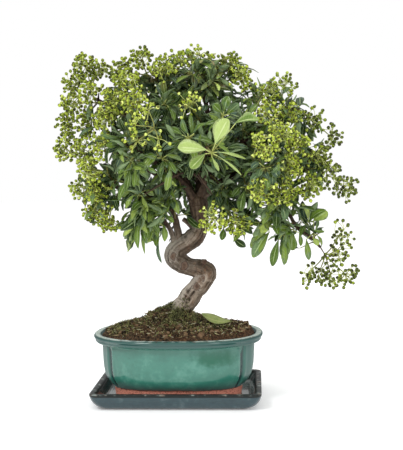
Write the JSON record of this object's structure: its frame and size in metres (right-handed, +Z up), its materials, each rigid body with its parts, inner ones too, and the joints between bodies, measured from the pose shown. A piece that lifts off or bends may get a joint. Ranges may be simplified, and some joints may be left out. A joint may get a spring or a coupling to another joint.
{
  "type": "narrowleaf firethorn bonsai",
  "caption": "Bonsai firethorn with a bent trunk, narrow leaves and green berry clusters, in an oval glazed pot on a tray saucer.",
  "frame": {"origin": "centre of the saucer's underside on the floor", "axes": "+Z up along the height, X along the pot's length with +X to the viewer's right, +Y away from the viewer"},
  "size_m": [0.3454, 0.2404, 0.4161],
  "materials": {
    "pot_glaze": "mottled teal glaze, bare clay at the foot",
    "saucer_glaze": "dark blue-grey glaze",
    "soil": "crumbly potting soil",
    "bark": "grey-brown bark",
    "leaves": "dark green, half glossy",
    "pale_leaf": "pale green, dull",
    "berries": "unripe green berries on thin stalks"
  },
  "bodies": {
    "root": {"berries_back_left": "berries", "berries_back_mid": "berries", "berries_back_right": "berries", "berries_brow_front": "berries", "berries_crest_left": "berries", "berries_crest_mid": "berries", "berries_front_spray": "berries", "berries_hang_sprig": "berries", "berries_heart": "berries", "berries_left_brow": "berries", "berries_left_cheek": "berries", "berries_left_crest": "berries", "berries_left_hem": "berries", "berries_left_mid": "berries", "berries_left_out": "berries", "berries_left_skirt": "berries", "berries_left_tip": "berries", "berries_low_centre": "berries", "berries_right_breast": "berries", "berries_right_crown": "berries", "berries_right_face": "berries", "berries_right_far": "berries", "berries_right_mid": "berries", "berries_right_sprig": "berries", "berries_right_under": "berries", "berries_right_wide": "berries", "berries_top_right": "berries", "berries_top_tip": "berries", "fallen_leaf": "pale_leaf", "leaves_back_a": "leaves", "leaves_back_b": "leaves", "leaves_back_c": "leaves", "leaves_back_d": "leaves", "leaves_brow_leaf": "leaves", "leaves_crown_right": "leaves", "leaves_crown_top": "leaves", "leaves_dark_mid": "leaves", "leaves_dark_right": "leaves", "leaves_deep_right": "leaves", "leaves_far_right": "leaves", "leaves_heart_a": "leaves", "leaves_heart_b": "leaves", "leaves_heart_c": "leaves", "leaves_left_fall": "leaves", "leaves_left_inner": "leaves", "leaves_low_centre": "leaves", "leaves_low_left": "leaves", "leaves_low_mid": "leaves", "leaves_low_right_a": "leaves", "leaves_low_right_b": "leaves", "leaves_low_right_c": "leaves", "leaves_mid_left": "leaves", "leaves_right_grey": "leaves", "leaves_right_lobe": "leaves", "leaves_side_trunk": "leaves", "leaves_young_front": "pale_leaf", "pot": "pot_glaze", "saucer": "saucer_glaze", "soil": "soil", "trunk": "bark"}
  },
  "joints": []
}
